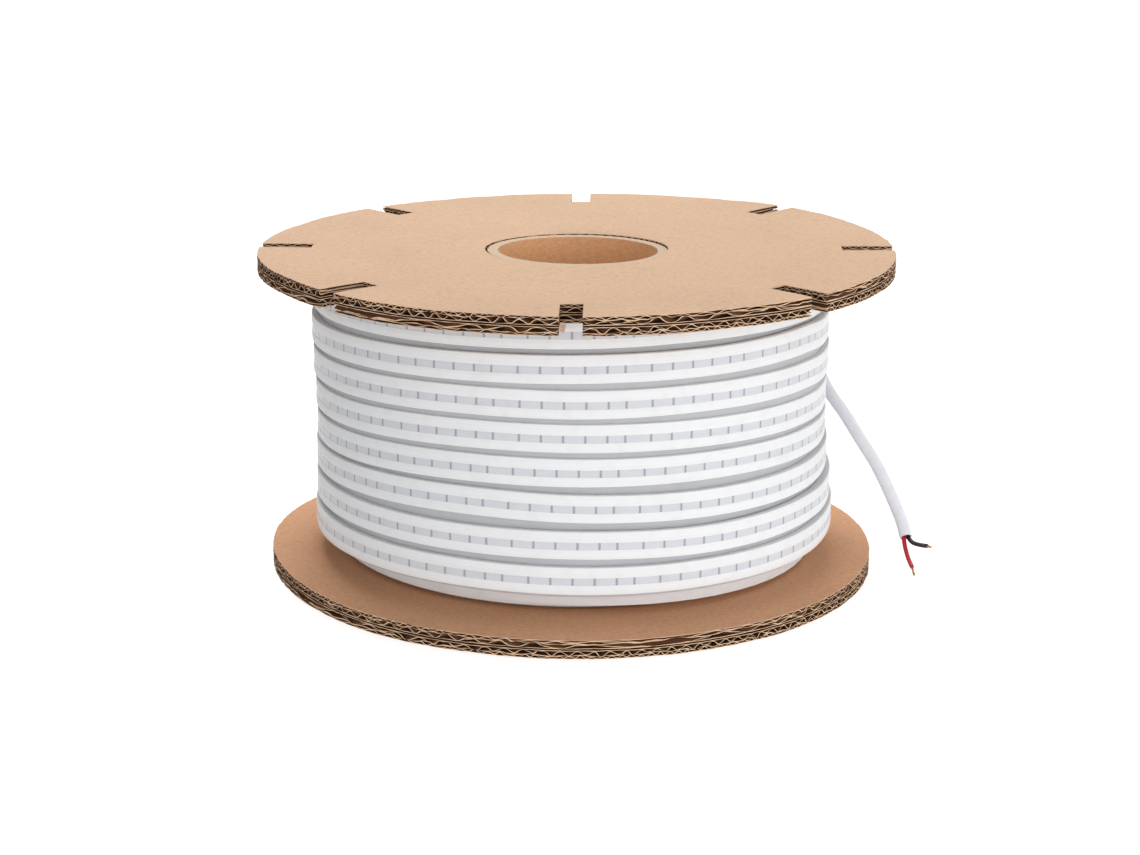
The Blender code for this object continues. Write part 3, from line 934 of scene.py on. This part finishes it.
# The nipple's outline: place and radius, in mm.
NIPPLE_OUTLINE = (
    (17.0, 4.6), (18.0, 4.55), (18.6, 4.45), (19.0, 4.0), (19.8, 3.95), (20.2, 4.35),
    (21.2, 4.3), (21.6, 3.85), (22.4, 3.8), (22.8, 4.2), (23.8, 4.1), (24.2, 3.75),
    (25.0, 3.7), (25.4, 4.0), (26.6, 3.9), (27.6, 3.8), (28.0, 3.55), (28.0, 3.1),
)
NIPPLE_SIDES = 28

cap_outward = around(1.0, END_AZIMUTH, 0.0)
cap_forward = Vector((cap_outward.y, -cap_outward.x, 0.0))
cap_upward = Vector((0.0, 0.0, 1.0))
cap_start = cap_outward * CAP_CENTRE_RADIUS + cap_upward * END_HEIGHT + cap_forward * TOUCH_GAP


def cap_silicone():
    material, tree, shader = new_material("end_cap_silicone", 0.45)
    place = place_coordinates(tree)
    grain = noise_texture(tree, place, 900.0, detail=3.0)
    smudges = noise_texture(tree, place, 120.0, detail=4.0)
    stained(tree, shader, smudges, [(0.3, shaded(CAP_WHITE, 0.95)), (0.6, CAP_WHITE)])
    add_bump(tree, shader, grain, 0.2, 0.0001)
    return material


def skin_over(builder, sections):
    """Joins closed sections with faces, and closes both ends."""
    rings = [[builder.verts.new(point) for point in section] for section in sections]
    for ring, next_ring in zip(rings, rings[1:]):
        for corner in range(len(ring)):
            after = (corner + 1) % len(ring)
            builder.faces.new((ring[corner], ring[after], next_ring[after], next_ring[corner]))
    builder.faces.new(rings[0])
    builder.faces.new(rings[-1])


def rounded_loop(forward_place, half_thick, half_tall, rounding):
    """A rounded oblong across the cap, as points round its edge."""
    points = []
    for corner_out, corner_up, start in ((1, 1, 0.0), (-1, 1, 90.0), (-1, -1, 180.0), (1, -1, 270.0)):
        for step in range(5):
            turn = math.radians(start + 90.0 * step / 4)
            out = corner_out * (half_thick - rounding) + rounding * math.cos(turn)
            up = corner_up * (half_tall - rounding) + rounding * math.sin(turn)
            points.append(cap_start + cap_forward * forward_place + cap_outward * out + cap_upward * up)
    return points


def end_cap():
    sections = []
    for forward_place, less in CAP_OUTLINE:
        half_thick = 0.5 * CAP_THICKNESS + less * MM
        half_tall = 0.5 * CAP_HEIGHT + less * MM
        sections.append(rounded_loop(forward_place * MM, half_thick, half_tall, CAP_CORNER))
    ribs = []
    for forward_place, radius in NIPPLE_OUTLINE:
        ring = []
        for step in range(NIPPLE_SIDES):
            turn = 2.0 * math.pi * step / NIPPLE_SIDES
            square = cap_outward * math.cos(turn) + cap_upward * math.sin(turn)
            ring.append(cap_start + (cap_forward * forward_place + square * radius) * MM)
        ribs.append(ring)
    builder = bmesh.new()
    skin_over(builder, sections)
    skin_over(builder, ribs)
    bmesh.ops.recalc_face_normals(builder, faces=builder.faces)
    piece = new_piece("flex_end_cap_moulded", builder, [cap_silicone()], 40.0)
    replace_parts(piece, "flex_end_cap")


end_cap()

# The power lead is a round two-core cable with a soft white jacket, about 150 mm long. It is
# held in the nipple and hangs past the side of the coil, and its end is stripped for the joint.
JACKET_WHITE = (0.84, 0.845, 0.90)
RED = (0.58, 0.012, 0.022)
BLACK = (0.018, 0.018, 0.02)
COPPER = (0.80, 0.42, 0.22)
LEAD_RADIUS = 3.0 * MM
LEAD_SIDES = 28
LEAD_SPACING = 2.0 * MM
# The jacket's cut end: how far forward, and its share of the radius. The last goes inside.
JACKET_END = ((0.05 * MM, 0.93), (0.01 * MM, 0.80), (-1.8 * MM, 0.74))
CORE_RADIUS = 1.05 * MM
CORE_SIDES = 20
CORE_SPACING = 0.8 * MM
STRAND_COUNT = 7
STRAND_RADIUS = 0.185 * MM
STRAND_SPREAD = 0.36 * MM
STRAND_TWIST = 260.0
STRAND_STEPS = 18
LEAD_ROUTE = (
    (109.6, 77.4, 87.6), (116.2, 69.2, 86.0), (121.0, 59.0, 83.0), (124.6, 47.6, 78.6),
    (128.2, 36.4, 72.8), (134.6, 25.0, 65.2), (141.9, 13.0, 54.9), (148.4, 3.0, 45.7),
    (154.4, -9.0, 34.3), (158.8, -19.0, 24.2), (160.4, -25.0, 18.0),
)
RED_CORE_ROUTE = (
    (160.0, -24.2, 18.6), (159.3, -25.5, 17.7), (159.6, -30.0, 14.2), (160.4, -36.0, 10.9),
    (161.5, -42.0, 8.6),
)
RED_TIP = (162.0, -46.9, 6.2)
BLACK_CORE_ROUTE = (
    (160.9, -24.2, 18.6), (161.6, -25.2, 17.7), (163.0, -30.0, 16.9), (165.6, -36.0, 17.7),
    (168.1, -42.0, 19.2),
)
BLACK_TIP = (169.2, -46.3, 20.1)


def smooth_route(route, spacing):
    """Evenly spaced points on a smooth curve through the route's points."""
    padded = [route[0] * 2 - route[1]] + route + [route[-1] * 2 - route[-2]]
    fine = []
    for index in range(1, len(padded) - 2):
        before, start, end, after = padded[index - 1:index + 3]
        for sample in range(24):
            t = sample / 24
            fine.append(0.5 * (
                2 * start
                + (end - before) * t
                + (2 * before - 5 * start + 4 * end - after) * t ** 2
                + (3 * start - before - 3 * end + after) * t ** 3
            ))
    fine.append(route[-1])
    lengths = [(second - first).length for first, second in zip(fine, fine[1:])]
    total = sum(lengths)
    count = max(3, round(total / spacing))
    even = [fine[0]]
    travelled = 0.0
    for point, length in zip(fine[1:], lengths):
        travelled += length
        if travelled >= total * len(even) / count - 1e-7:
            even.append(point)
    return even


def round_sections(path, radius, sides):
    """Circles square to a path, carried along it without twisting."""
    sections = []
    side = Vector((0.0, 0.0, 1.0))
    for index, point in enumerate(path):
        ahead = path[min(index + 1, len(path) - 1)]
        behind = path[max(index - 1, 0)]
        heading = (ahead - behind).normalized()
        side = (side - heading * side.dot(heading)).normalized()
        other = heading.cross(side)
        turns = [2.0 * math.pi * step / sides for step in range(sides)]
        sections.append([
            point + side * radius * math.cos(turn) + other * radius * math.sin(turn) for turn in turns
        ])
    return sections


def swept_round(name, sections, step_along, step_across, skin, smooth_angle):
    """A cable's skin through its round sections, with its places along and across in mm."""
    sides = len(sections[0])
    along = [index * step_along for index in range(len(sections))]
    across = [step * step_across for step in range(sides + 1)]
    return swept(name, sections, along, across, [0] * sides, [skin], smooth_angle)


def cable_skin(name, colour, roughness, wear):
    material, tree, shader = new_material(name, roughness)
    shader.inputs["Specular IOR Level"].default_value = 0.4
    place = place_coordinates(tree)
    smudges = noise_texture(tree, place, 260.0, detail=4.0)
    stained(tree, shader, smudges, [(0.32, shaded(colour, wear)), (0.58, colour)])
    grain = noise_texture(tree, place, 1400.0, detail=2.0)
    add_bump(tree, shader, grain, 0.15, 0.00008)
    return material


def copper_strands():
    material, tree, shader = new_material("bare_copper_strands", 0.28)
    shader.inputs["Metallic"].default_value = 1.0
    stain = noise_texture(tree, place_coordinates(tree), 900.0, detail=3.0)
    stained(tree, shader, stain, [(0.3, shaded(COPPER, 0.55)), (0.6, COPPER)])
    add_bump(tree, shader, stain, 0.1, 0.00005)
    return material


copper = copper_strands()


def insulated_core(colour_name, route, tip, colour):
    """A stripped core: its insulation, and seven copper strands twisted together."""
    skin = cable_skin(colour_name + "_insulation_skin", colour, 0.38, 0.75)
    path = smooth_route([Vector(point) * MM for point in route], CORE_SPACING)
    sections = round_sections(path, CORE_RADIUS, CORE_SIDES)
    sections[-1] = [path[-1] + (point - path[-1]) * 0.94 for point in sections[-1]]
    core = swept_round(colour_name + "_core_insulation", sections, 0.8, 0.33, skin, 60.0)
    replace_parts(core, colour_name + "_core")
    heading = (Vector(tip) * MM - path[-1]).normalized()
    start = path[-1] - heading * CORE_SPACING
    length = (Vector(tip) * MM - start).length
    side = heading.orthogonal().normalized()
    other = heading.cross(side)
    bundle = bmesh.new()
    for strand in range(STRAND_COUNT):
        in_the_middle = strand == STRAND_COUNT - 1
        end = length * (1.0 - 0.05 * ((strand * 37) % 5) / 5.0)
        centre_line = []
        for step in range(STRAND_STEPS + 1):
            share = step / STRAND_STEPS
            turn = math.radians(60.0 * strand + STRAND_TWIST * share)
            loosened = 1.0 + 0.35 * smooth_step((share - 0.75) / 0.25)
            out = 0.0 if in_the_middle else STRAND_SPREAD * loosened
            aside = side * out * math.cos(turn) + other * out * math.sin(turn)
            centre_line.append(start + heading * end * share + aside)
        skin_over(bundle, round_sections(centre_line, STRAND_RADIUS, 8))
    bmesh.ops.recalc_face_normals(bundle, faces=bundle.faces)
    strands = new_piece(colour_name + "_copper_strands", bundle, [copper], 40.0)
    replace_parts(strands, colour_name + "_conductor")
    return core, strands


def power_lead():
    """The jacket as a mesh tube, with its cut end hollow round the cores."""
    jacket = cable_skin("white_jacket_skin", JACKET_WHITE, 0.42, 0.95)
    exit_point = cap_start + cap_forward * (CAP_LENGTH + NIPPLE_LENGTH + TOUCH_GAP)
    route = [exit_point] + [Vector(point) * MM for point in LEAD_ROUTE]
    centre_line = smooth_route(route, LEAD_SPACING)
    sections = round_sections(centre_line, LEAD_RADIUS, LEAD_SIDES)
    cut = centre_line[-1]
    heading = (cut - centre_line[-2]).normalized()
    rim = sections[-1]
    for forward, share in JACKET_END:
        place = cut + heading * forward
        sections.append([place + (point - cut) * share for point in rim])
    lead = swept_round("power_lead_jacket", sections, 2.0, 0.67, jacket, 50.0)
    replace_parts(lead, "power_lead")
    return lead, exit_point, centre_line


lead, lead_exit, lead_line = power_lead()
red_pieces = insulated_core("red", RED_CORE_ROUTE, RED_TIP, RED)
black_pieces = insulated_core("black", BLACK_CORE_ROUTE, BLACK_TIP, BLACK)

# The studio is a plain pale floor that runs out of the picture, white walls and one softbox.
# The reel stands on the floor, and the light comes mostly from the front and the right.
FLOOR_WHITE = (0.40, 0.40, 0.40)
FLOOR_GLOW = 0.82
FLOOR_SIZE = 12.0
FLOOR_DROP = 0.4 * MM
SKY_STRENGTH = 1.53
# How bright the surroundings are: 0 is straight below, 0.5 the horizon and 1 straight above.
SKY_LEVELS = (
    (0.0, 0.22), (0.30, 0.38), (0.43, 0.70), (0.50, 0.82), (0.58, 0.76),
    (0.68, 0.46), (0.80, 0.28), (0.90, 0.19), (1.0, 0.22),
)
SKY_TOWARDS = (0.56, -0.80, 0.0)
SOFTBOX_PLACE = Vector((-0.2, 1.2, 1.9))
SOFTBOX_TARGET = Vector((0.0, 0.0, 0.1))
SOFTBOX_SIZE = 1.5
SOFTBOX_POWER = 43.0


def studio_floor():
    material, tree, shader = new_material("studio_floor_paper", 0.9)
    shader.inputs["Emission Color"].default_value = (1.0, 1.0, 1.0, 1.0)
    shader.inputs["Emission Strength"].default_value = FLOOR_GLOW
    shader.inputs["Specular IOR Level"].default_value = 0.0
    grain = noise_texture(tree, place_coordinates(tree), 8.0, detail=3.0)
    stained(tree, shader, grain, [(0.3, shaded(FLOOR_WHITE, 0.995)), (0.6, FLOOR_WHITE)])
    builder = bmesh.new()
    bmesh.ops.create_grid(builder, x_segments=8, y_segments=8, size=FLOOR_SIZE)
    floor = new_object("studio_floor", builder, [material])
    floor.location.z = -FLOOR_DROP
    floor.visible_diffuse = False


def scaled_and_raised(tree, value, scale, raised):
    sums = tree.nodes.new("ShaderNodeMath")
    sums.operation = "MULTIPLY_ADD"
    sums.inputs[1].default_value = scale
    sums.inputs[2].default_value = raised
    tree.links.new(value, sums.inputs[0])
    return sums.outputs[0]


def studio_sky():
    """White walls and a white table all round, brighter to the front and to the right."""
    world = bpy.data.worlds.new("studio_light")
    world.use_nodes = True
    tree = world.node_tree
    coordinates = tree.nodes.new("ShaderNodeTexCoord")
    separate = tree.nodes.new("ShaderNodeSeparateXYZ")
    tree.links.new(coordinates.outputs["Generated"], separate.inputs["Vector"])
    upward = scaled_and_raised(tree, separate.outputs["Z"], 0.5, 0.5)
    levels = colour_ramp(tree, upward, [(place, (level,) * 3) for place, level in SKY_LEVELS])
    towards = tree.nodes.new("ShaderNodeVectorMath")
    towards.operation = "DOT_PRODUCT"
    towards.inputs[1].default_value = SKY_TOWARDS
    tree.links.new(coordinates.outputs["Generated"], towards.inputs[0])
    strength = scaled_and_raised(tree, towards.outputs["Value"], SKY_STRENGTH, SKY_STRENGTH)
    background = tree.nodes["Background"]
    tree.links.new(levels, background.inputs["Color"])
    tree.links.new(strength, background.inputs["Strength"])
    bpy.context.scene.world = world


def softbox():
    lamp = bpy.data.lights.new("overhead_softbox", "AREA")
    lamp.shape = "SQUARE"
    lamp.size = SOFTBOX_SIZE
    lamp.energy = SOFTBOX_POWER
    holder = bpy.data.objects.new("overhead_softbox", lamp)
    holder.location = SOFTBOX_PLACE
    heading = SOFTBOX_TARGET - SOFTBOX_PLACE
    holder.rotation_euler = heading.to_track_quat("-Z", "Y").to_euler()
    bpy.context.scene.collection.objects.link(holder)


studio_floor()
studio_sky()
softbox()
bpy.context.scene.view_settings.view_transform = "Standard"

# The camera stands in front and a little above the reel, where the photograph was taken from.
# It looks slightly down, and is turned and rolled by less than a degree.
CAMERA_PLACE = (3.5 * MM, -1094.2 * MM, 369.0 * MM)
CAMERA_PITCH = math.radians(-15.57)
CAMERA_YAW = math.radians(-0.27)
CAMERA_ROLL = math.radians(0.47)
CAMERA_LENS = 73.794

camera_data = bpy.data.cameras.new("studio_camera")
camera_data.sensor_width = 36.0
camera_data.lens = CAMERA_LENS
camera = bpy.data.objects.new("studio_camera", camera_data)
looking = Vector((
    math.sin(CAMERA_YAW) * math.cos(CAMERA_PITCH),
    math.cos(CAMERA_YAW) * math.cos(CAMERA_PITCH),
    math.sin(CAMERA_PITCH),
))
level_right = Vector((math.cos(CAMERA_YAW), -math.sin(CAMERA_YAW), 0.0))
level_up = level_right.cross(looking)
right = level_right * math.cos(CAMERA_ROLL) + level_up * math.sin(CAMERA_ROLL)
up = right.cross(looking)
turned = Matrix((right, up, -looking)).transposed().to_4x4()
camera.matrix_world = Matrix.Translation(CAMERA_PLACE) @ turned
bpy.context.scene.collection.objects.link(camera)
bpy.context.scene.camera = camera
